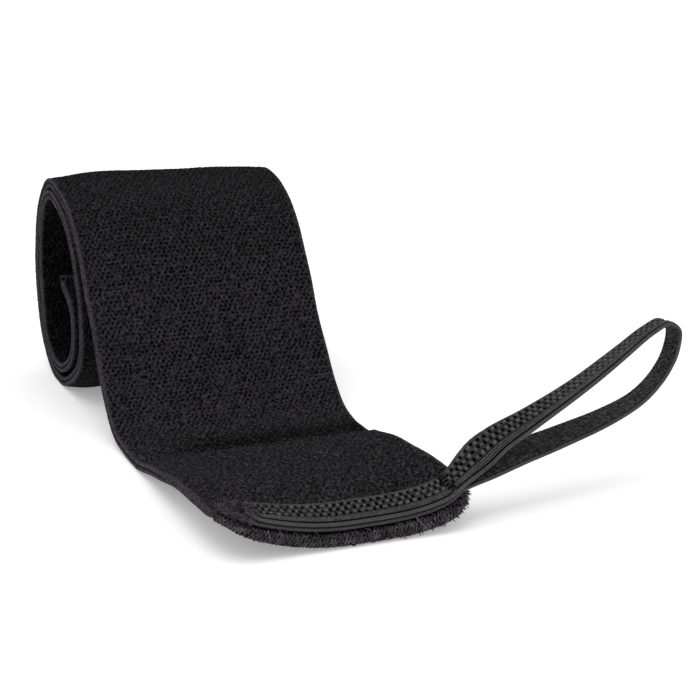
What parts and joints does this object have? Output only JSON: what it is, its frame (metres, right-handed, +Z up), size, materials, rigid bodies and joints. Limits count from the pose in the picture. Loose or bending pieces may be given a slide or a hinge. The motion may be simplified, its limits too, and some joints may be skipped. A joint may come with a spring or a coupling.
{
  "type": "wrist support wrap",
  "caption": "Knitted elastic wrist wrap with a sewn tape thumb loop, partly rolled up, with its free front end lying flat and a hook-patch tail inside the roll.",
  "frame": {"origin": "middle of the whole object's footprint, on the table it rests on", "axes": "+X across the band towards the thumb loop's side, +Y from the free front end back to the roll, +Z up from the table"},
  "size_m": [0.149, 0.1928, 0.068],
  "materials": {
    "knit": "matte",
    "tape": "matte",
    "thread": "matte",
    "hook": "matte"
  },
  "bodies": {
    "roll": {"band_roll": "knit"},
    "slope": {"band_slope": "knit"},
    "front_end": {"band_end_panel": "knit", "trim_lower_layer": "tape", "trim_upper_layer": "tape", "end_overlock": "thread", "left_bartack": "thread", "right_bartack": "thread", "trim_seam_stitches": "thread"},
    "loop": {"thumb_loop": "tape"},
    "tail": {"band_tail": "knit", "tail_overlock": "thread", "hook_patch": "hook", "hook_patch_stitches": "thread"}
  },
  "joints": [
    {"name": "unroll_bend", "type": "hinge", "parent": "roll", "child": "slope", "pos_m": [-0.037, 0.05091, 0.06], "axis": [-1, 0, 0], "range_deg": [0, 60], "stiffness_Nm_per_rad": 0.02},
    {"name": "foot_bend", "type": "hinge", "parent": "slope", "child": "front_end", "pos_m": [-0.037, -0.01259, 0.00145], "axis": [-1, 0, 0], "range_deg": [0, 70], "stiffness_Nm_per_rad": 0.02},
    {"name": "loop_swing", "type": "hinge", "parent": "front_end", "child": "loop", "pos_m": [0.00202, -0.08709, 0.0141], "axis": [0, -0.9659, -0.2588], "range_deg": [-12, 75], "stiffness_Nm_per_rad": 0.03},
    {"name": "tail_peel", "type": "hinge", "parent": "roll", "child": "tail", "pos_m": [-0.037, 0.06101, 0.0089], "axis": [-1, 0, 0], "range_deg": [-6, 40], "stiffness_Nm_per_rad": 0.03}
  ]
}
